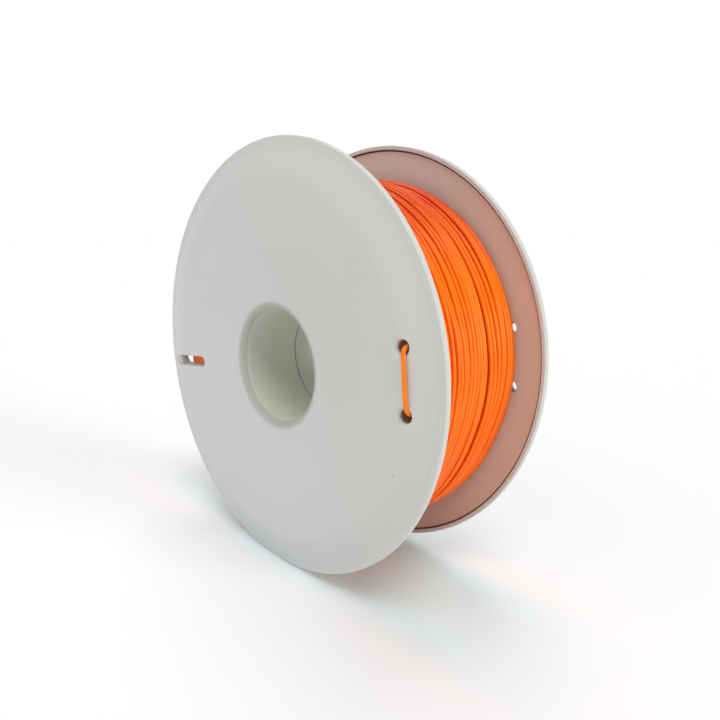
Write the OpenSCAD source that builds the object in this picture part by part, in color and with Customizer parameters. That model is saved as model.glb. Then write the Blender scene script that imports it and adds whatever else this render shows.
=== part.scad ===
// Filament spool: two identical moulded halves pushed together at mid-width,
// a wound charge of 1.75 mm filament on the drum, and the strand end threaded
// through the two retaining holes of the front flange.
// Spool axis along Y, hub centre at the origin, +Z up, front flange at -Y.

/* [Flanges] */
// Outside diameter of the flanges
flange_d = 200; // [196:0.5:204]
// Width over the two rims, outside to outside
rim_width = 66; // [64:0.5:68]
// Axial thickness of the rim band
rim_t = 2.6; // [2.3:0.1:3]
// Radial height of the rim bead on the inner side
rim_bead = 2; // [1.5:0.1:2.5]
// Width of the groove in the web along the foot of the bead
foot_groove = 0.7; // [0.5:0.1:1]
// Web thickness left at the rim
web_edge_t = 1.5; // [1.3:0.1:1.8]
// How far the crown of the flange stands out past the rim plane
dome_h = 4.8; // [4:0.1:5.5]
// Radius where the crown starts to fall towards the rim
crown_r = 82; // [80:0.5:85]
// Radius where the crown starts to fall towards the bore
dish_r = 66; // [60:0.5:70]
// Swell of the inner side of the web, from its edge to the channel
inner_swell = 0.6; // [0.3:0.1:0.9]

/* [Bore] */
// Diameter of the spindle bore
bore_d = 52.5; // [51:0.5:54]
// Radius of the rounded lip at each mouth of the bore
lip_rad = 4.4; // [3.5:0.1:5]
// Height of the bore lip above the rim plane
lip_h = 0.5; // [0.3:0.1:0.8]
// Half width of the seam groove where the two halves meet inside the bore
seam_gap = 0.28; // [0.1:0.02:0.4]
// Depth of the seam groove
seam_depth = 1; // [0.4:0.1:1.4]
// Wall thickness of the bore tube
tube_t = 2.4; // [2:0.1:3]

/* [Winding drum] */
// Outside diameter of the drum that the filament is wound on
drum_d = 96; // [94:1:100]
// Wall thickness of the drum
drum_t = 2.4; // [2:0.1:3]
// Number of ribs between the bore tube and the drum
rib_count = 6; // [6:6:12]
// Thickness of each rib
rib_t = 1.8; // [1.4:0.1:2.2]
// Diameter of the joining pegs
peg_d = 5; // [4:0.1:5.5]
// Length of the joining pegs past mid-width
peg_len = 7; // [5:0.5:8]
// Diametral play of a peg in its socket
peg_play = 0.16; // [0.1:0.02:0.3]

/* [Retaining holes and slot] */
// Turn of the hole pair about the spool axis, in degrees
clock = 6.4; // [0:0.1:20]
// Radius of the circle that the retaining holes lie on
hole_r = 84.7; // [84:0.1:85.2]
// Angle of each hole either side of the middle of the pair
hole_half_angle = 8.6; // [8.5:0.05:8.8]
// Diameter of a retaining hole below its lip
hole_d = 5.6; // [5:0.1:6]
// Diameter of a retaining hole at the inner face
hole_di = 4.4; // [4:0.1:4.8]
// Radius of the rounded lip round the holes
mouth_rad = 1.5; // [1.2:0.1:2]
// Width of the slot opposite the holes, below its lip
slot_w = 5.5; // [5:0.1:5.8]
// Width of the slot at the inner face
slot_wi = 3.9; // [3.6:0.1:4.4]
// Radius of the rounded lip along the slot
slot_lip = 0.8; // [0.6:0.1:1.2]
// Turn of the slot from straight across the hole pair, in degrees
slot_turn = 0.7; // [0:0.1:1]
// Radius where the slot starts, towards the hub
slot_r0 = 57.9; // [57:0.1:60]
// Radius of the middle of the slot's quarter-round end, towards the rim
slot_end_r = 83; // [82:0.1:83.4]
// Radius of that quarter-round end, below its lip
slot_end_w = 6; // [5.6:0.1:6.4]
// Slope of that end away from square to the flange, in degrees
slot_end_tilt = 16; // [12:1:20]

/* [Filament] */
// Diameter of the filament
strand_d = 1.75; // [1.7:0.05:1.75]
// Outside diameter of the winding
winding_d = 169; // [164:1:169]

/* [Hidden] */

flange_r = flange_d / 2;
bore_r = bore_d / 2;
rim_z = rim_width / 2;
crown_z = rim_z + dome_h;
lip_z = rim_z + lip_h;
lip_r = bore_r + lip_rad;
edge = 0.4;
web_z = rim_z - web_edge_t;
channel_z = web_z - inner_swell;
bead_r = flange_r - rim_bead;
dish_edge_r = 86.5;
drum_r = drum_d / 2;
roof_z = rim_z - 2.2;
post_r = (drum_r - drum_t + bore_r + tube_t) / 2;
post_d = peg_d + 4;

function ease(t) = t <= 0 ? 0 : t >= 1 ? 1 : t * t * (3 - 2 * t);

// Height of the outer face at radius r
function face_z(r) =
    r < dish_r ? lip_z + (crown_z - lip_z) * ease((r - lip_r) / (dish_r - lip_r))
    : rim_z + dome_h * (1 - ease((r - crown_r) / (flange_r - edge - crown_r)));

// Height of the inner face of the web at radius r
function web_in(r) = web_z - inner_swell * (1 - ease((r - dish_edge_r) / (bead_r - dish_edge_r)));

function steps(a, b, n) = [for (i = [0 : n]) a + (b - a) * i / n];

// Section of one half, radius along X and height along Y, outer side up
function half_section() = concat(
    // seam groove inside the bore, its edge broken
    [[bore_r + seam_depth, 0], [bore_r + seam_depth, seam_gap], [bore_r + 0.12, seam_gap], [bore_r, seam_gap + 0.14]],
    // rounded lip of the bore
    [for (a = steps(0, 90, 9)) [lip_r - lip_rad * cos(a), lip_z - lip_rad + lip_rad * sin(a)]],
    // funnel, crown and fall to the rim
    [for (r = steps(lip_r + 1.5, dish_r, 16)) [r, face_z(r)]],
    [[crown_r, crown_z]],
    [for (r = steps(crown_r + 1, flange_r - edge, 15)) [r, face_z(r)]],
    // rim band and its inner bead
    [[flange_r, rim_z - edge], [flange_r, rim_z - rim_t + edge], [flange_r - edge, rim_z - rim_t]],
    [[bead_r + 0.3, rim_z - rim_t], [bead_r, rim_z - rim_t + 0.3]],
    // groove at the foot of the bead
    [[bead_r, web_z + 0.7], [bead_r - foot_groove, web_z + 0.7]],
    // inner face of the web
    [for (r = steps(bead_r - foot_groove, dish_edge_r, 8)) [r, web_in(r)]],
    // drum wall and the hollow of the hub
    [[drum_r, channel_z], [drum_r, 0], [drum_r - drum_t, 0], [drum_r - drum_t, roof_z],
     [bore_r + tube_t, roof_z], [bore_r + tube_t, 0]]
);

// Cross-section of a mouth through the web, from the middle out: wall from the
// half width v at depth h to w below the lip, then a rounded lip of radius r
function mouth_section(w, v, r, h = 8) = concat(
    [[0, -h], [v, -h], [w, -r]],
    [for (a = steps(12, 76, 5)) [w + r * (1 - cos(a)), -r * (1 - sin(a))]],
    [[w + r * (1 - cos(76)) + 2.9, 2.9 * tan(14) - r * (1 - sin(76))],
     [w + r * (1 - cos(76)) + 2.9, 3], [0, 3]]
);

// A round hole through the web with a rounded outer mouth, face at z = 0
module round_mouth() {
    rotate_extrude($fn = 64) polygon(mouth_section(hole_d / 2, hole_di / 2 - 0.1, mouth_rad, 7.6));
    // eased inner edge
    translate([0, 0, channel_z - face_z(hole_r) - 0.01]) cylinder(h = 0.45, d1 = hole_di + 0.8, d2 = hole_di, $fn = 64);
}

// The slot: a round end towards the hub, flanks that draw in towards the inner
// face, and towards the rim a sloping quarter-round end. Crown at z = 0.
module slot_mouth() {
    w = slot_w / 2;
    m = mouth_section(w, slot_wi / 2 - 0.15, slot_lip, 8);
    translate([slot_r0 + w, 0, 0]) rotate_extrude($fn = 64) polygon(m);
    intersection() {
        translate([slot_r0 + w, 0, 0]) rotate([90, 0, 90]) linear_extrude(34)
            polygon(concat(m, [for (i = [len(m) - 2 : -1 : 1]) [-m[i][0], m[i][1]]]));
        union() {
            translate([slot_r0, -9, -9]) cube([slot_end_r - slot_r0, 18, 12.5]);
            translate([slot_end_r, 0.15 - w, -1.4]) rotate([0, slot_end_tilt, 0])
                rotate_extrude($fn = 96) polygon(mouth_section(slot_end_w, slot_end_w - 1.2, 0.9, 8));
        }
    }
}

module post(h) {
    cylinder(h = h, d = post_d, $fn = 48);
}

// One moulding, spool axis along Z and outer side up. The pair of holes is
// centred on +X and the slot on -X, so that the same part, turned over about
// X, makes the other half.
module moulding() {
    difference() {
        union() {
            rotate_extrude($fn = 360) polygon(half_section());
            // ribs tie the bore tube to the drum
            for (i = [0 : rib_count - 1]) rotate([0, 0, i * 360 / rib_count])
                translate([bore_r + tube_t - 0.6, -rib_t / 2, 0.05])
                    cube([drum_r - drum_t - bore_r - tube_t + 1.2, rib_t, roof_z + 0.3]);
            // posts: pegs on one side of X, sockets on the other
            for (a = [30, 90, 150]) {
                rotate([0, 0, a]) translate([post_r, 0, 0.05]) post(roof_z + 0.3);
                rotate([0, 0, -a]) translate([post_r, 0, 0.05]) post(roof_z + 0.3);
                rotate([0, 0, a]) translate([post_r, 0, -peg_len + 0.8]) cylinder(h = peg_len, d = peg_d, $fn = 48);
                rotate([0, 0, a]) translate([post_r, 0, -peg_len]) cylinder(h = 0.8, d1 = peg_d - 1.2, d2 = peg_d, $fn = 48);
            }
        }
        for (a = [30, 90, 150])
            rotate([0, 0, -a]) translate([post_r, 0, -1]) cylinder(h = peg_len + 2, d = peg_d + peg_play, $fn = 48);
        for (s = [-1, 1])
            rotate([0, 0, s * hole_half_angle]) translate([hole_r, 0, face_z(hole_r)]) round_mouth();
        rotate([0, 0, 180 + slot_turn]) translate([0, 0, crown_z]) slot_mouth();
    }
}

module front_spool_half() {
    color([0.76, 0.77, 0.74]) rotate([90, 0, 0]) rotate([0, 0, clock]) moulding();
}

module rear_spool_half() {
    color([0.76, 0.77, 0.74]) rotate([90, 0, 0]) rotate([0, 0, clock]) rotate([180, 0, 0]) moulding();
}

// The wound filament as one solid ring that fills the channel
module filament_winding() {
    color([0.95, 0.42, 0.12]) rotate([90, 0, 0])
        rotate_extrude($fn = 360) polygon([
            [drum_r, -channel_z], [winding_d / 2 - 0.5, -channel_z], [winding_d / 2, -channel_z + 0.6],
            [winding_d / 2, channel_z - 0.6], [winding_d / 2 - 0.5, channel_z], [drum_r, channel_z]]);
}

// Route of the free end: off the winding, out through the upper hole, down the
// flange and back in through the lower hole
end_route = [
    [73, -30, 44.3], [76.2, -30, 38.5], [78.8, -30, 33.2], [80.7, -30, 28.8],
    [81.4, -30, 26.8], [81.9, -30.2, 25.2], [82.2, -30.9, 23.9], [82.45, -31.9, 23.2],
    [82.65, -33.2, 22.9], [82.75, -34.6, 22.7], [82.8, -36, 22.4], [82.95, -37.3, 21.7],
    [83.2, -38.1, 20.4], [83.6, -38.5, 18.6], [84, -38.55, 16.4], [84.4, -38.6, 13.4],
    [84.7, -38.6, 10.4], [85, -38.6, 7.4], [85.3, -38.55, 4.6], [85.5, -38.45, 2.4],
    [85.7, -38.2, 0.6], [85.8, -37.5, -0.9], [85.75, -36.6, -1.9], [85.65, -35.4, -2.6],
    [85.55, -34, -3.1], [85.5, -32.6, -3.5], [85.45, -31.4, -4], [85.5, -30.2, -5],
    [85.6, -29.3, -6.6], [85.7, -28.8, -8.6], [85.8, -28.5, -10.8]
];

function unit(v) = v / norm(v);
function smooth_pt(p, i, t) =
    let (a = p[max(i - 1, 0)], b = p[i], c = p[i + 1], d = p[min(i + 2, len(p) - 1)])
    0.5 * (2 * b + (c - a) * t + (2 * a - 5 * b + 4 * c - d) * t * t + (3 * b - 3 * c + d - a) * t * t * t);
function smooth_route(p) = concat(
    [for (i = [0 : len(p) - 2], t = [0, 0.5]) smooth_pt(p, i, t)], [p[len(p) - 1]]);

module strand(route, d, sides = 8) {
    p = smooth_route(route);
    n = len(p);
    rings = [for (i = [0 : n - 1])
        let (t = unit(p[min(i + 1, n - 1)] - p[max(i - 1, 0)]),
             u = unit(cross(t, [1, 0, 0])), v = cross(t, u))
        for (k = [0 : sides - 1])
            p[i] + d / 2 * (cos(k * 360 / sides) * u + sin(k * 360 / sides) * v)];
    polyhedron(points = rings, faces = concat(
        [[for (k = [0 : sides - 1]) k]],
        [for (i = [0 : n - 2], k = [0 : sides - 1])
            let (a = i * sides + k, b = i * sides + (k + 1) % sides)
            [b, a, a + sides, b + sides]],
        [[for (k = [sides - 1 : -1 : 0]) (n - 1) * sides + k]]), convexity = 8);
}

module filament_end() {
    color([0.97, 0.45, 0.14]) strand(end_route, strand_d);
}

front_spool_half();
rear_spool_half();
filament_winding();
filament_end();
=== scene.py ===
import math

import bpy
import numpy as np
from mathutils import Matrix, Vector


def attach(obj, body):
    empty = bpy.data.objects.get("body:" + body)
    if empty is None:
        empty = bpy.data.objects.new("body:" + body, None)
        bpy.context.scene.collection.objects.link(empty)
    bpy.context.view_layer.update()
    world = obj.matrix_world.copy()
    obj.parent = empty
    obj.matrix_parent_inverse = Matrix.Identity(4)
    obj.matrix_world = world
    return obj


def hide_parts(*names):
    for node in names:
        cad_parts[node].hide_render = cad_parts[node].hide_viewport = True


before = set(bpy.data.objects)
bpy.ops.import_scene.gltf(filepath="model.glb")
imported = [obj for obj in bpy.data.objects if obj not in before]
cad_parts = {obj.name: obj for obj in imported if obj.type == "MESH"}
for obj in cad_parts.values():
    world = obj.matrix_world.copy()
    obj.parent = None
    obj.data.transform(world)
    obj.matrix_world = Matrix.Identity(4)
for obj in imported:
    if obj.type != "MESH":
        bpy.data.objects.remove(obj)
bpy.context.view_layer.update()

MM = 0.001
RNG = np.random.default_rng(20)

# ---------------------------------------------------------------- camera
cam_data = bpy.data.cameras.new("camera")
cam_data.sensor_width = 36.0
cam_data.lens = 31.5456
cam_data.shift_x = 0.0807
cam_data.shift_y = 0.0657
cam_data.clip_start = 0.01
cam_data.clip_end = 50.0
cam = bpy.data.objects.new("camera", cam_data)
bpy.context.scene.collection.objects.link(cam)
right = Vector((0.63236, 0.77467, 0.0))
up = Vector((-0.22183, 0.18108, 0.95813))
ahead = Vector((-0.74223, 0.60588, -0.28635))
m = Matrix.Identity(4)
for i in range(3):
    m[i][0], m[i][1], m[i][2] = right[i], up[i], -ahead[i]
m[0][3], m[1][3], m[2][3] = 0.231719, -0.206042, 0.066263
cam.matrix_world = m
bpy.context.scene.camera = cam


# ---------------------------------------------------------------- mesh helpers
def new_mesh(name, points, quads, tris=()):
    """An object from numpy points in metres and faces, shaded smooth."""
    me = bpy.data.meshes.new(name)
    faces = [tuple(int(v) for v in q) for q in quads] + [tuple(int(v) for v in t) for t in tris]
    me.from_pydata([tuple(p) for p in np.asarray(points, float)], [], faces)
    me.polygons.foreach_set("use_smooth", np.ones(len(me.polygons), bool))
    me.update()
    o = bpy.data.objects.new(name, me)
    bpy.context.scene.collection.objects.link(o)
    return o


def fast_mesh(name, points, quads, caps=()):
    """As new_mesh, for many quads: quads is an (n, 4) array and caps a list of longer faces."""
    points = np.asarray(points, np.float32)
    quads = np.asarray(quads, np.int32)
    me = bpy.data.meshes.new(name)
    me.vertices.add(len(points))
    me.vertices.foreach_set("co", points.ravel())
    loops = np.concatenate([quads.ravel()] + [np.asarray(c, np.int32) for c in caps])
    starts = list(range(0, 4 * len(quads), 4))
    at = 4 * len(quads)
    for c in caps:
        starts.append(at)
        at += len(c)
    me.loops.add(len(loops))
    me.loops.foreach_set("vertex_index", loops)
    me.polygons.add(len(starts))
    me.polygons.foreach_set("loop_start", np.array(starts, np.int32))
    me.polygons.foreach_set("use_smooth", np.ones(len(starts), bool))
    me.update(calc_edges=True)
    me.validate()
    o = bpy.data.objects.new(name, me)
    bpy.context.scene.collection.objects.link(o)
    return o


def tube_rings(centres, u, v, radius, sides):
    """Rings of points about each centre in the plane of u and v."""
    t = np.arange(sides) * 2 * np.pi / sides
    c, s = np.cos(t)[None, :, None], np.sin(t)[None, :, None]
    return (centres[:, None, :] + radius * (c * u[:, None, :] + s * v[:, None, :])).reshape(-1, 3)


def tube_faces(n, sides, base=0):
    i = np.arange(n - 1)[:, None] * sides
    k = np.arange(sides)[None, :]
    k2 = (k + 1) % sides
    q = np.stack([i + k, i + k2, i + sides + k2, i + sides + k], -1).reshape(-1, 4) + base
    caps = [list(range(base + sides - 1, base - 1, -1)),
            list(range(base + (n - 1) * sides, base + n * sides))]
    return q, caps


# ---------------------------------------------------------------- the winding
D = 1.75            # strand diameter, mm
SIDE = 30.0         # how far from mid-width a strand's middle can lie
COLS = 240          # columns round the spool
STEP = 2 * np.pi / COLS

# Axial place, in mm, of each turn of the outer layer where it crosses these
# angles round the rim (0 at +X, positive towards +Z). Rear flange first.
ANG = [62, 50, 40, 32, 24, 16, 8, 0, -8, -16, -28]
OUTER = [
    [30.6, 30.6, 31.0, 31.1, 31.2, 31.3, 31.3, 31.2, 31.0, 30.8, 30.8],
    [29.6, 28.8, 28.6, 28.6, 29.2, 29.1, 29.3, 29.6, 30.4, 29.8, 29.4],
    [27.6, 27.8, 28.0, 27.9, 27.4, 27.2, 27.6, 28.2, 28.7, 28.5, 28.0],
    [25.4, 25.9, 25.5, 25.4, 25.1, 25.1, 25.7, 26.1, 26.3, 26.1, 26.2],
    [22.8, 23.4, 24.1, 23.4, 23.4, 23.2, 23.6, 24.0, 24.6, 24.6, 24.4],
    [21.4, 21.3, 22.5, 22.5, 22.3, 21.6, 22.0, 22.3, 22.6, 22.8, 22.6],
    [19.4, 19.1, 20.2, 19.9, 19.7, 19.4, 19.4, 19.5, 20.0, 20.8, 21.6],
    [16.4, 16.6, 17.6, 17.0, 17.2, 17.4, 17.2, 17.0, 17.1, 17.9, 18.6],
    [15.2, 15.2, 16.8, 16.7, 16.4, 15.9, 15.4, 15.2, 15.3, 15.6, 16.2],
    [12.9, 12.8, 14.7, 15.0, 14.5, 13.8, 13.0, 12.3, 12.1, 12.4, 13.3],
    [11.2, 11.6, 12.7, 13.0, 12.7, 12.0, 11.1, 10.2, 9.7, 9.6, 10.2],
    [8.8, 8.8, 9.6, 10.0, 9.9, 9.5, 8.9, 8.1, 7.6, 7.7, 8.2],
    [6.6, 6.2, 6.6, 6.7, 7.5, 7.7, 6.7, 5.9, 5.7, 5.9, 6.5],
    [3.0, 3.1, 3.4, 3.5, 3.1, 3.7, 4.1, 4.0, 3.7, 3.8, 4.9],
    [0.6, 1.4, 2.0, 1.8, 1.9, 1.9, 1.3, 0.4, 1.4, 1.8, 2.6],
    [-2.0, -1.6, -1.1, -1.0, -1.1, -1.2, -0.9, -0.4, -0.4, -0.8, 0.2],
    [-3.6, -3.3, -3.0, -3.0, -2.9, -1.8, -0.8, -0.2, -0.2, -0.6, -1.4],
    [-6.2, -5.9, -5.8, -5.9, -5.8, -4.9, -4.0, -3.3, -2.3, -2.4, -3.0],
    [-8.0, -7.8, -7.6, -8.0, -8.0, -7.2, -5.5, -4.6, -4.4, -3.8, -4.6],
]
ROUTE = [
    [73, -30, 44.3], [76.2, -30, 38.5], [78.8, -30, 33.2], [80.7, -30, 28.8],
    [81.4, -30, 26.8], [81.9, -30.2, 25.2], [82.2, -30.9, 23.9], [82.45, -31.9, 23.2],
    [82.65, -33.2, 22.9], [82.75, -34.6, 22.7], [82.8, -36, 22.4], [82.95, -37.3, 21.7],
    [83.2, -38.1, 20.4], [83.6, -38.5, 18.6], [84, -38.55, 16.4], [84.4, -38.6, 13.4],
    [84.7, -38.6, 10.4], [85, -38.6, 7.4], [85.3, -38.55, 4.6], [85.5, -38.45, 2.4],
    [85.7, -38.2, 0.6], [85.8, -37.5, -0.9], [85.75, -36.6, -1.9], [85.65, -35.4, -2.6],
    [85.55, -34, -3.1], [85.5, -32.6, -3.5], [85.45, -31.4, -4], [85.5, -30.2, -5],
    [85.6, -29.3, -6.6], [85.7, -28.8, -8.6], [85.8, -28.5, -10.8],
]


def catmull(xs, ys, at):
    """Smooth curve through (xs, ys), xs rising."""
    xs, ys = np.asarray(xs, float), np.asarray(ys, float)
    slope = np.gradient(ys, xs)
    i = np.clip(np.searchsorted(xs, at) - 1, 0, len(xs) - 2)
    h = xs[i + 1] - xs[i]
    t = (at - xs[i]) / h
    return ((2 * t**3 - 3 * t**2 + 1) * ys[i] + (t**3 - 2 * t**2 + t) * h * slope[i]
            + (-2 * t**3 + 3 * t**2) * ys[i + 1] + (t**3 - t**2) * h * slope[i + 1])


def wander(phi, amp, seed, longest=1.4):
    """Slow sideways wander along a strand, phi in radians."""
    r = np.random.default_rng(seed)
    out = np.zeros_like(phi)
    for f, a in ((0.37, 1.0), (0.83, 0.8), (1.7, 0.55), (3.1, 0.28)):
        out += a * np.sin(f * longest * phi + r.uniform(0, 2 * np.pi))
    return amp * out / 1.5


# A layer is one strand: y at column j of turn n. Angle falls along the strand.
def plain_layer(turns, first, last, amp, seed):
    n = turns * COLS
    phi = np.arange(n) * STEP
    y = first + (last - first) * phi / phi[-1]
    y = y + wander(phi, amp, seed) * np.clip((SIDE - np.abs(y)) / 1.5, 0, 1)
    # the pitch varies a little from turn to turn
    r = np.random.default_rng(seed + 1)
    jitter = np.repeat(r.uniform(-0.25, 0.25, turns), COLS)
    k = np.hanning(COLS // 2)
    y = y + np.convolve(jitter, k / k.sum(), "same") * np.clip((SIDE - 0.3 - np.abs(y)) / 1.0, 0, 1)
    return np.clip(y, -SIDE, SIDE)


# How much the pile stands above its mean radius, mm, by angle round the rim.
PILE_AT = [-180, -120, -95, -68, -58, -44, -36, -28, -16, -6, 4, 14, 30, 44, 52, 60, 68, 76, 86, 110, 180]
PILE = [0.0, -0.3, -0.5, -0.4, -0.1, 0.6, 1.0, 0.8, 0.8, 1.5, 2.2, 2.4, 2.4, 2.2, 1.7, 1.2, 0.7, -0.3, -0.8, -0.4, 0.0]
START = 62.0        # angle at which turns of the outer layer are counted, degrees


def outer_layer():
    """The outer strand, from the rear flange to the front one."""
    turns_seen = 22
    rest = 11
    knots_x, knots_y = [], []
    r = np.random.default_rng(7)
    rows = np.array(OUTER) - 0.75
    rows[0] = SIDE
    # ease the lines along and across, then lay the turns side by side
    rows[:, 1:-1] = 0.25 * rows[:, :-2] + 0.5 * rows[:, 1:-1] + 0.25 * rows[:, 2:]
    for _ in range(3):
        rows[1:-1] = 0.25 * rows[:-2] + 0.5 * rows[1:-1] + 0.25 * rows[2:]
    at = np.linspace(0, len(OUTER) - 1, turns_seen)
    table = np.stack([np.interp(at, np.arange(len(OUTER)), rows[:, c]) for c in range(len(ANG))], 1)
    for n in range(1, turns_seen):
        table[n] = np.minimum(table[n], table[n - 1] - 1.78)
    for n, row in enumerate(table):
        for a, y in zip(ANG, row):
            knots_x.append(n * 360 + START - a)
            knots_y.append(y)
        nxt = table[n + 1][0] if n + 1 < turns_seen else -11.0
        for f in (0.22, 0.45, 0.7):
            a = (START - ANG[-1]) + f * (360 - (START - ANG[-1]))
            drift = row[-1] + (nxt - row[-1]) * f
            knots_x.append(n * 360 + a)
            knots_y.append(drift + r.uniform(-0.12, 0.12))
    base = np.linspace(-11.0, -29.8, rest + 1)
    for n in range(rest):
        for f in np.arange(0, 1, 0.125):
            knots_x.append((turns_seen + n) * 360 + f * 360)
            y = base[n] + (base[n + 1] - base[n]) * f
            knots_y.append(max(-29.8, y + r.uniform(-0.2, 0.2) * min(1, (29.7 - abs(y)) / 1.5)))
    last = (turns_seen + rest) * 360
    # one more turn against the front flange, which ends where the free end begins
    end = last + (START - 30.0)
    knots_x += [last, end]
    knots_y += [-29.9, -30.0]
    n = int(end / 360 * COLS)
    x = np.arange(n + 1) * 360 / COLS
    return np.clip(catmull(knots_x, knots_y, x), -SIDE, SIDE)


def stack(layers, floor_r, soften):
    """Rests every strand on the ones wound before it, column by column."""
    out, laid = [], [[] for _ in range(COLS)]
    for y in layers:
        r = np.zeros(len(y))
        for i in range(len(y)):
            best = floor_r
            for (yy, rr) in laid[i % COLS]:
                dy = abs(yy - y[i])
                if dy < D:
                    best = max(best, rr + math.sqrt(D * D - dy * dy))
            r[i] = best
            laid[i % COLS].append((y[i], best))
        k = np.hanning(soften * 2 + 1)
        pad = np.concatenate([np.full(soften, r[0]), r, np.full(soften, r[-1])])
        out.append(np.convolve(pad, k / k.sum(), "valid"))
    return out


def strand_mesh(y, r, sides, phase):
    """A tube along the strand: its ring lies in the plane of the radius and the axis."""
    th = math.radians(START) - np.arange(len(y)) * STEP + phase
    rad = np.stack([np.cos(th), np.zeros_like(th), np.sin(th)], -1)
    c = rad * r[:, None] + np.stack([np.zeros_like(y), y, np.zeros_like(y)], -1)
    ax = np.tile(np.array([0.0, 1.0, 0.0]), (len(y), 1))
    return c, rad, ax


def build_winding():
    low = plain_layer(30, -SIDE, SIDE, 0.22, 3)
    mid = plain_layer(29, SIDE, -SIDE, 0.35, 11)
    top = outer_layer()
    layers = [low, mid, top]
    radii = stack(layers, 79.9, 6)
    # the pile stands a little higher at the side and lower towards top and bottom
    for k, y in enumerate(layers):
        th = START - np.arange(len(y)) * 360 / COLS
        th = (th + 180.0) % 360.0 - 180.0
        radii[k] = radii[k] + np.interp(th, PILE_AT, PILE)
    # the outer strand climbs to where the free end starts
    n = len(top)
    lift = np.clip((np.arange(n) - (n - 45)) / 45.0, 0, 1)
    lift = lift * lift * (3 - 2 * lift)
    radii[2] = radii[2] * (1 - lift) + 85.39 * lift
    pts, quads, caps, at = [], [], [], 0
    for y, r, sides in zip(layers, radii, (8, 10, 14)):
        c, u, v = strand_mesh(y, r, sides, 0.0)
        p = tube_rings(c, u, v, 0.475 * D, sides)
        q, cp = tube_faces(len(c), sides, at)
        pts.append(p)
        quads.append(q)
        caps += cp
        at += len(p)
    # the rest of the charge below the layers that show
    prof = [(48.05, -30.85), (79.6, -30.85), (80.1, -30.4), (80.1, 30.4), (79.6, 30.85), (48.05, 30.85)]
    seg = 180
    t = np.arange(seg) * 2 * np.pi / seg
    ring = np.array([[r * math.cos(a), y, r * math.sin(a)] for a in t for r, y in prof])
    k = len(prof)
    fq = []
    for i in range(seg):
        for j in range(k):
            a, b = i * k + j, i * k + (j + 1) % k
            c2, d2 = ((i + 1) % seg) * k + (j + 1) % k, ((i + 1) % seg) * k + j
            fq.append([a + at, b + at, c2 + at, d2 + at])
    pts.append(ring)
    quads.append(np.array(fq))
    o = fast_mesh("filament_winding_strands", np.concatenate(pts) * MM, np.concatenate(quads), caps)
    return o


def smooth_route(p, sub):
    p = np.asarray(p, float)
    out = []
    for i in range(len(p) - 1):
        a, b, c, d = p[max(i - 1, 0)], p[i], p[i + 1], p[min(i + 2, len(p) - 1)]
        for t in np.arange(sub) / sub:
            out.append(0.5 * (2 * b + (c - a) * t + (2 * a - 5 * b + 4 * c - d) * t * t
                              + (3 * b - 3 * c + d - a) * t ** 3))
    out.append(p[-1])
    return np.array(out)


def build_end():
    c = smooth_route(ROUTE, 6)
    t = np.gradient(c, axis=0)
    t /= np.linalg.norm(t, axis=1)[:, None]
    u = np.cross(t, [1.0, 0.0, 0.0])
    u /= np.linalg.norm(u, axis=1)[:, None]
    v = np.cross(t, u)
    sides = 18
    p = tube_rings(c, u, v, D / 2 - 0.004, sides)
    q, caps = tube_faces(len(c), sides)
    return fast_mesh("filament_end_strand", p * MM, q, caps)


winding = build_winding()
end = build_end()
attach(winding, "root")
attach(end, "root")
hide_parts("filament_winding")
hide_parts("filament_end")


# ---------------------------------------------------------------- materials
def nodes_of(name):
    mat = bpy.data.materials.new(name)
    mat.use_nodes = True
    nt = mat.node_tree
    nt.nodes.clear()
    out = nt.nodes.new("ShaderNodeOutputMaterial")
    bsdf = nt.nodes.new("ShaderNodeBsdfPrincipled")
    nt.links.new(bsdf.outputs[0], out.inputs["Surface"])
    return mat, nt, bsdf


def node(nt, kind, **values):
    n = nt.nodes.new(kind)
    for k, v in values.items():
        if hasattr(n, k):
            setattr(n, k, v)
        else:
            n.inputs[k.replace("_", " ")].default_value = v
    return n


def mix_by(nt, factor, one, two):
    """Colour mix of two sockets or values by a factor socket."""
    n = nt.nodes.new("ShaderNodeMix")
    n.data_type = "RGBA"
    nt.links.new(factor, n.inputs["Factor"])
    for socket, value in ((n.inputs["A"], one), (n.inputs["B"], two)):
        if isinstance(value, tuple):
            socket.default_value = value
        else:
            nt.links.new(value, socket)
    return n.outputs["Result"]


def ramp_of(nt, value, lo, hi, to_lo=0.0, to_hi=1.0):
    """Smooth step of a value socket."""
    n = nt.nodes.new("ShaderNodeMapRange")
    n.interpolation_type = "SMOOTHSTEP"
    n.inputs["From Min"].default_value = lo
    n.inputs["From Max"].default_value = hi
    n.inputs["To Min"].default_value = to_lo
    n.inputs["To Max"].default_value = to_hi
    nt.links.new(value, n.inputs["Value"])
    return n.outputs["Result"]


def maths(nt, kind, *values):
    n = nt.nodes.new("ShaderNodeMath")
    n.operation = kind
    for i, v in enumerate(values):
        if isinstance(v, (int, float)):
            n.inputs[i].default_value = v
        else:
            nt.links.new(v, n.inputs[i])
    return n.outputs[0]


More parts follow.
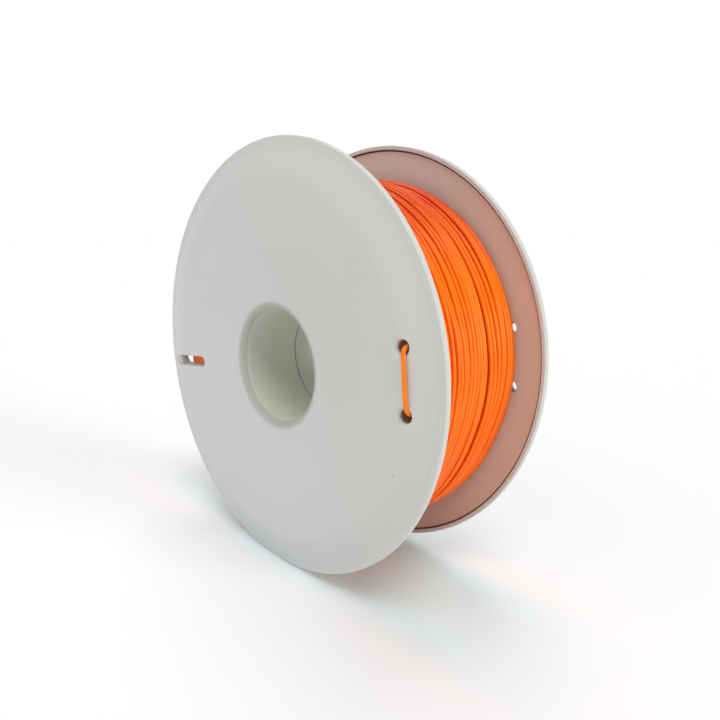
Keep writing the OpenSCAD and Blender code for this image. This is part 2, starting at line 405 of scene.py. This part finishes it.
def plastic_material():
    """Light grey moulded plastic: faint cloudiness, fine texture, with painted light and shade: painted warm bounce
    light inside the channel, painted shade in the rim groove, on the bore's lip and in the holes, a painted cool cast
    and a painted lighter bore.
    """
    mat, nt, b = nodes_of("spool_plastic_moulded")
    L = nt.links.new
    tc = node(nt, "ShaderNodeTexCoord")
    pos = tc.outputs["Object"]
    sep = node(nt, "ShaderNodeSeparateXYZ")
    L(pos, sep.inputs[0])
    x, y, z = sep.outputs[0], sep.outputs[1], sep.outputs[2]
    b.inputs["Specular IOR Level"].default_value = 0.35
    big = node(nt, "ShaderNodeTexNoise", Scale=14.0, Detail=3.0, Roughness=0.55)
    L(pos, big.inputs["Vector"])
    # painted light: a cool bluish cast of the surroundings' light towards the lower left, a little green-grey towards
    # the upper right
    light_lean = maths(nt, "MULTIPLY_ADD", x, -0.9, maths(nt, "MULTIPLY_ADD", z, -0.5, 0.0))
    light_lean = maths(nt, "MULTIPLY_ADD", big.outputs["Fac"], 0.05, light_lean)
    base = mix_by(nt, ramp_of(nt, light_lean, -0.06, 0.12), (PLASTIC[0], PLASTIC[1], PLASTIC[2], 1), (COOL_LIGHT_TINT[0], COOL_LIGHT_TINT[1], COOL_LIGHT_TINT[2], 1))
    cloud = ramp_of(nt, big.outputs["Fac"], 0.3, 0.7, 0.0, 0.06)
    base = mix_by(nt, cloud, base, (0.40, 0.41, 0.38, 1))
    # painted light: inside the channel the plastic is painted warm with the orange bounce light of the filament, less
    # towards the top
    rad = maths(nt, "SQRT", maths(nt, "ADD", maths(nt, "MULTIPLY", x, x), maths(nt, "MULTIPLY", z, z)))
    inner = ramp_of(nt, maths(nt, "ABSOLUTE", y), 0.0335, 0.0327)
    near = maths(nt, "MULTIPLY", ramp_of(nt, rad, 0.0965, 0.0845, 0.95, 0.7), ramp_of(nt, rad, 0.0978, 0.0972))
    outer = ramp_of(nt, rad, 0.055, 0.0565)
    painted_bounce = maths(nt, "MULTIPLY", maths(nt, "MULTIPLY", inner, near), outer)
    painted_bounce = maths(nt, "MULTIPLY", painted_bounce, ramp_of(nt, z, 0.098, 0.045, 0.62, 1.0))
    base = mix_by(nt, painted_bounce, base, (PAINTED_BOUNCE_GLOW[0], PAINTED_BOUNCE_GLOW[1], PAINTED_BOUNCE_GLOW[2], 1))
    # painted shade darkens the groove at the foot of the rim bead
    groove_shade = maths(nt, "MULTIPLY", ramp_of(nt, rad, 0.0970, 0.0973), ramp_of(nt, rad, 0.0983, 0.0981))
    groove_shade = maths(nt, "MULTIPLY", groove_shade, ramp_of(nt, maths(nt, "ABSOLUTE", y), 0.03155, 0.0317))
    groove_shade = maths(nt, "MULTIPLY", groove_shade, ramp_of(nt, maths(nt, "ABSOLUTE", y), 0.0327, 0.0325))
    base = mix_by(nt, groove_shade, base, (0.12, 0.09, 0.07, 1))
    # painted light: the bore is painted a little lighter and yellower than the face, standing in for the greenish
    # light inside it
    bore_light_tint = ramp_of(nt, rad, 0.0305, 0.0275)
    base = mix_by(nt, bore_light_tint, base, (BORE_LIGHT_TINT[0], BORE_LIGHT_TINT[1], BORE_LIGHT_TINT[2], 1))
    # painted shade darkens the bore's lip
    lip_shade = maths(nt, "MULTIPLY", ramp_of(nt, rad, 0.02635, 0.0268), ramp_of(nt, rad, 0.0312, 0.0285))
    base = mix_by(nt, maths(nt, "MULTIPLY", lip_shade, 0.8), base, (0.365, 0.37, 0.322, 1))
    # painted shade inside the retaining holes, browned by painted orange bounce light from the strand
    for cx, cz in HOLES:
        dx, dz = maths(nt, "SUBTRACT", x, cx), maths(nt, "SUBTRACT", z, cz)
        d = maths(nt, "SQRT", maths(nt, "ADD", maths(nt, "MULTIPLY", dx, dx), maths(nt, "MULTIPLY", dz, dz)))
        hole_shade = maths(nt, "MULTIPLY", ramp_of(nt, d, 0.0034, 0.0028), ramp_of(nt, maths(nt, "ABSOLUTE", y), 0.0368, 0.0355))
        hole_shade = maths(nt, "MULTIPLY", hole_shade, ramp_of(nt, maths(nt, "ABSOLUTE", y), 0.0309, 0.0311))
        base = mix_by(nt, maths(nt, "MULTIPLY", hole_shade, 0.9), base, (0.26, 0.12, 0.075, 1))
    # specks of dust and colour in the moulding
    dots = node(nt, "ShaderNodeTexVoronoi", Scale=95.0)
    L(pos, dots.inputs["Vector"])
    some = node(nt, "ShaderNodeTexNoise", Scale=31.0, Detail=1.0)
    L(pos, some.inputs["Vector"])
    speck = maths(nt, "MULTIPLY", ramp_of(nt, dots.outputs["Distance"], 0.045, 0.02), ramp_of(nt, some.outputs["Fac"], 0.63, 0.66))
    base = mix_by(nt, maths(nt, "MULTIPLY", speck, 0.5), base, (0.16, 0.14, 0.11, 1))
    L(base, b.inputs["Base Color"])
    fine = node(nt, "ShaderNodeTexNoise", Scale=700.0, Detail=3.0, Roughness=0.6)
    L(pos, fine.inputs["Vector"])
    L(ramp_of(nt, big.outputs["Fac"], 0.3, 0.7, 0.40, 0.52), b.inputs["Roughness"])
    bump = node(nt, "ShaderNodeBump", Strength=0.06, Distance=0.00005)
    L(maths(nt, "MULTIPLY", fine.outputs["Fac"], ramp_of(nt, rad, 0.0994, 0.0980)), bump.inputs["Height"])
    L(bump.outputs["Normal"], b.inputs["Normal"])
    return mat


def filament_material():
    """Orange filament, slightly translucent, with a soft sheen; painted lighter in the middle and darker at the top.
    """
    mat, nt, b = nodes_of("filament_gloss")
    L = nt.links.new
    tc = node(nt, "ShaderNodeTexCoord")
    pos = tc.outputs["Object"]
    b.inputs["Specular IOR Level"].default_value = 0.24
    b.inputs["Subsurface Weight"].default_value = 0.04
    b.inputs["Subsurface Radius"].default_value = (1.0, 0.25, 0.04)
    b.inputs["Subsurface Scale"].default_value = 0.0015
    # light passed on from strand to strand, which keeps the gaps deep orange red
    b.inputs["Emission Color"].default_value = (1.0, 0.06, 0.0, 1)
    b.inputs["Emission Strength"].default_value = 0.045
    big = node(nt, "ShaderNodeTexNoise", Scale=60.0, Detail=3.0, Roughness=0.6)
    L(pos, big.inputs["Vector"])
    sep = node(nt, "ShaderNodeSeparateXYZ")
    L(pos, sep.inputs[0])
    # painted light: the strands are painted lighter and yellower in the middle where the light falls, darker and
    # redder at the top in painted shade
    painted_light_tone = mix_by(nt, ramp_of(nt, sep.outputs[2], -0.055, 0.015), FIL_LOW, FIL_LIT_MID)
    painted_light_tone = mix_by(nt, ramp_of(nt, sep.outputs[2], 0.040, 0.076), painted_light_tone, FIL_SHADED_TOP)
    L(mix_by(nt, ramp_of(nt, big.outputs["Fac"], 0.3, 0.7, 0.0, 0.16), painted_light_tone, (0.99, 0.30, 0.02, 1)), b.inputs["Base Color"])
    L(ramp_of(nt, big.outputs["Fac"], 0.25, 0.75, 0.24, 0.34), b.inputs["Roughness"])
    fine = node(nt, "ShaderNodeTexNoise", Scale=1400.0, Detail=2.0, Roughness=0.5)
    L(pos, fine.inputs["Vector"])
    bump = node(nt, "ShaderNodeBump", Strength=0.15, Distance=0.00005)
    L(fine.outputs["Fac"], bump.inputs["Height"])
    L(bump.outputs["Normal"], b.inputs["Normal"])
    return mat


HOLES = [(0.0818, 0.0219), (0.0846, -0.0033)]
PLASTIC = (0.57, 0.577, 0.545)
# painted cool light cast on the lower left of the plastic
COOL_LIGHT_TINT = (0.572, 0.582, 0.592)
# painted light tint of the bore
BORE_LIGHT_TINT = (0.58, 0.588, 0.51)
# painted orange bounce light on the channel walls
PAINTED_BOUNCE_GLOW = (0.59, 0.425, 0.34)
FIL_LOW = (0.96, 0.155, 0.003, 1)
# painted highlight tone of the winding's middle
FIL_LIT_MID = (0.94, 0.18, 0.003, 1)
# painted shade tone of the winding's top
FIL_SHADED_TOP = (0.66, 0.062, 0.001, 1)
plastic = plastic_material()
filament = filament_material()
for name in ("front_spool_half", "rear_spool_half"):
    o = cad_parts[name]
    if not o.material_slots:
        o.data.materials.append(plastic)
    for s in o.material_slots:
        s.material = plastic
winding.data.materials.append(filament)
end.data.materials.append(filament)

# ---------------------------------------------------------------- floor, light
floor_mesh = bpy.data.meshes.new("floor")
s = 6.0
floor_mesh.from_pydata([(-s, -s, -0.1), (s, -s, -0.1), (s, s, -0.1), (-s, s, -0.1)], [], [(0, 1, 2, 3)])
floor = bpy.data.objects.new("floor", floor_mesh)
bpy.context.scene.collection.objects.link(floor)
fm, fnt, fb = nodes_of("floor_pale")
fb.inputs["Base Color"].default_value = (0.805, 0.81, 0.81, 1)
fb.inputs["Roughness"].default_value = 1.0
fb.inputs["Specular IOR Level"].default_value = 0.0
# the sweep glows faintly; between the flanges it is painted cooler, with less red and a faint cyan glow, a painted
# light that cancels the orange light of the winding
ftc = node(fnt, "ShaderNodeTexCoord")
fsep = node(fnt, "ShaderNodeSeparateXYZ")
fnt.links.new(ftc.outputs["Object"], fsep.inputs[0])
painted_cool_patch = maths(fnt, "MULTIPLY", ramp_of(fnt, maths(fnt, "ABSOLUTE", fsep.outputs[0]), 0.18, 0.04),
              ramp_of(fnt, maths(fnt, "ABSOLUTE", fsep.outputs[1]), 0.046, 0.020))
fnt.links.new(mix_by(fnt, painted_cool_patch, (0.805, 0.81, 0.81, 1), (0.63, 0.81, 0.81, 1)), fb.inputs["Base Color"])
fnt.links.new(mix_by(fnt, painted_cool_patch, (0.05, 0.05, 0.05, 1), (0.04, 0.085, 0.09, 1)), fb.inputs["Emission Color"])
fb.inputs["Emission Strength"].default_value = 1.0
floor_mesh.materials.append(fm)

world = bpy.data.worlds.new("studio")
bpy.context.scene.world = world
world.use_nodes = True
wn = world.node_tree
back = wn.nodes["Background"]
back.inputs["Strength"].default_value = 1.0
wtc = node(wn, "ShaderNodeTexCoord")
sky = wtc.outputs["Generated"]
facing = node(wn, "ShaderNodeVectorMath", operation="DOT_PRODUCT")
wn.links.new(sky, facing.inputs[0])
facing.inputs[1].default_value = (-0.775, 0.632, 0.0)
wsep = node(wn, "ShaderNodeSeparateXYZ")
wn.links.new(sky, wsep.inputs[0])
# a white sweep behind the spool, a greyer room elsewhere, lighter in front
sweep = maths(wn, "MULTIPLY", ramp_of(wn, facing.outputs["Value"], 0.62, 0.80), ramp_of(wn, wsep.outputs["Z"], 0.60, 0.34))
room = ramp_of(wn, wsep.outputs["Y"], 0.6, -0.8, 0.33, 0.47)
wn.links.new(mix_by(wn, sweep, mix_by(wn, room, (0.0, 0.0, 0.0, 1), (1.0, 1.0, 1.0, 1)), (1.05, 1.05, 1.05, 1)), back.inputs["Color"])


def sun(name, direction, angle, strength, colour=(1, 1, 1)):
    """A distant softbox: direction points at it from the spool, angle is its width in degrees."""
    d = bpy.data.lights.new(name, "SUN")
    d.angle = math.radians(angle)
    d.energy = strength
    d.color = colour
    o = bpy.data.objects.new(name, d)
    bpy.context.scene.collection.objects.link(o)
    o.rotation_euler = Vector(direction).to_track_quat("Z", "Y").to_euler()
    return o


sun("top_right", (0.38, -0.26, 0.88), 26, 1.1)
sun("top_back", (-0.28, 0.24, 0.93), 34, 0.8)
sun("rim", (0.90, 0.30, 0.22), 22, 1.4)
sun("key", (-0.18, -0.84, 0.46), 70, 0.66)

vs = bpy.context.scene.view_settings
vs.view_transform = "Standard"
vs.look = "None"
vs.exposure = 0.0
vs.gamma = 1.0
